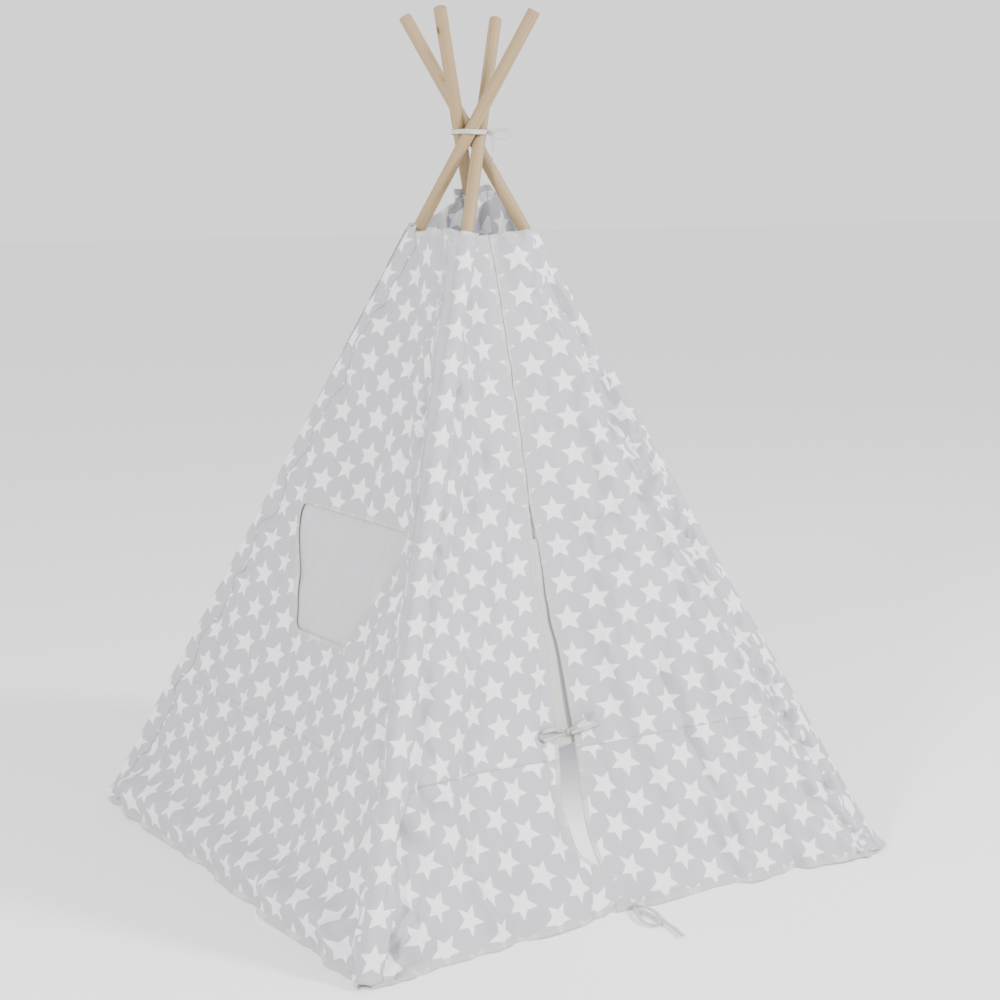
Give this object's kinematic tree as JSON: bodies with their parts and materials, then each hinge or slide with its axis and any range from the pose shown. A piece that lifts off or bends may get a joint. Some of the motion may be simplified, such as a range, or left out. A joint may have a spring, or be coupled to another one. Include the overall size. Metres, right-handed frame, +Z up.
{
  "type": "teepee tent",
  "caption": "Play teepee: leaning timber poles crossed and tied at the top, in corner sleeves of a printed cloth cover with a slit door and a curtained window.",
  "frame": {"origin": "on the floor under the crossing of the poles", "axes": "+Z up, the door face looks along -Y, the window wall along -X"},
  "size_m": [1.1536, 1.2531, 1.5716],
  "materials": {
    "pole_wood": "smooth sanded pine, clear and matt",
    "dowel_steel": "plain steel",
    "star_cotton": "plain-woven cotton, light grey with a printed all-over pattern of white five-pointed stars",
    "plain_lining": "plain-woven cotton, light grey, unprinted",
    "ribbon": "flat woven cotton tape, off-white"
  },
  "bodies": {
    "back_frame": {"pole_back_lower": "pole_wood", "pole_back_upper": "pole_wood", "dowel_back": "dowel_steel", "sleeve_back": "star_cotton", "pocket_back": "star_cotton", "pole_left_lower": "pole_wood", "pole_left_upper": "pole_wood", "dowel_left": "dowel_steel", "sleeve_left": "star_cotton", "pocket_left": "star_cotton", "back_wall": "star_cotton", "back_band": "star_cotton", "crossing_tie_band": "ribbon", "crossing_tie_knot": "ribbon", "crossing_tie_loop": "ribbon", "crossing_tie_tail": "ribbon"},
    "front_frame": {"pole_front_lower": "pole_wood", "pole_front_upper": "pole_wood", "dowel_front": "dowel_steel", "sleeve_front": "star_cotton", "pocket_front": "star_cotton", "pole_right_lower": "pole_wood", "pole_right_upper": "pole_wood", "dowel_right": "dowel_steel", "sleeve_right": "star_cotton", "pocket_right": "star_cotton", "door_panel_left": "star_cotton", "door_panel_right": "star_cotton", "door_band_left": "star_cotton", "door_band_right": "star_cotton"},
    "side_walls": {"left_wall": "star_cotton", "left_band": "star_cotton", "right_wall": "star_cotton", "right_band": "star_cotton"},
    "window_curtain": {"window_curtain": "plain_lining"},
    "door_flap_left": {"door_flap_left": "star_cotton", "flap_band_left": "star_cotton", "door_underlap": "plain_lining", "upper_tie_knot": "ribbon", "upper_tie_loop": "ribbon"},
    "door_flap_right": {"door_flap_right": "star_cotton", "flap_band_right": "star_cotton", "upper_tie_long_end": "ribbon", "upper_tie_short_end": "ribbon", "lower_tie_knot": "ribbon", "lower_tie_loop": "ribbon", "lower_tie_tail": "ribbon"}
  },
  "joints": [
    {"name": "frame_fold", "type": "hinge", "parent": "back_frame", "child": "front_frame", "pos_m": [0, 0, 1.34187], "axis": [1, 0, 0], "range_deg": [0, 34], "deforming": ["left_wall", "left_band", "right_wall", "right_band", "crossing_tie_band", "crossing_tie_knot", "crossing_tie_loop", "crossing_tie_tail", "window_curtain"]},
    {"name": "side_wall_fold", "type": "hinge", "parent": "back_frame", "child": "side_walls", "pos_m": [0, 0, 1.34187], "axis": [1, 0, 0], "range_deg": [0, 17.5]},
    {"name": "left_flap_fold", "type": "hinge", "parent": "front_frame", "child": "door_flap_left", "pos_m": [-0.01251, -0.222, 0.68639], "axis": [-0.5173, -0.3773, -0.7681], "range_deg": [0, 115]},
    {"name": "right_flap_fold", "type": "hinge", "parent": "front_frame", "child": "door_flap_right", "pos_m": [0.4961, -0.53536, 0.00078], "axis": [-0.5581, 0.3449, 0.7547], "range_deg": [0, 115]},
    {"name": "curtain_lift", "type": "hinge", "parent": "side_walls", "child": "window_curtain", "pos_m": [-0.28754, 0.1663, 0.66808], "axis": [0.0275, -0.9996, 0.0079], "range_deg": [0, 100]}
  ],
  "couplings": [
    {"joint": "side_wall_fold", "follows": "frame_fold", "ratio": 0.5}
  ]
}
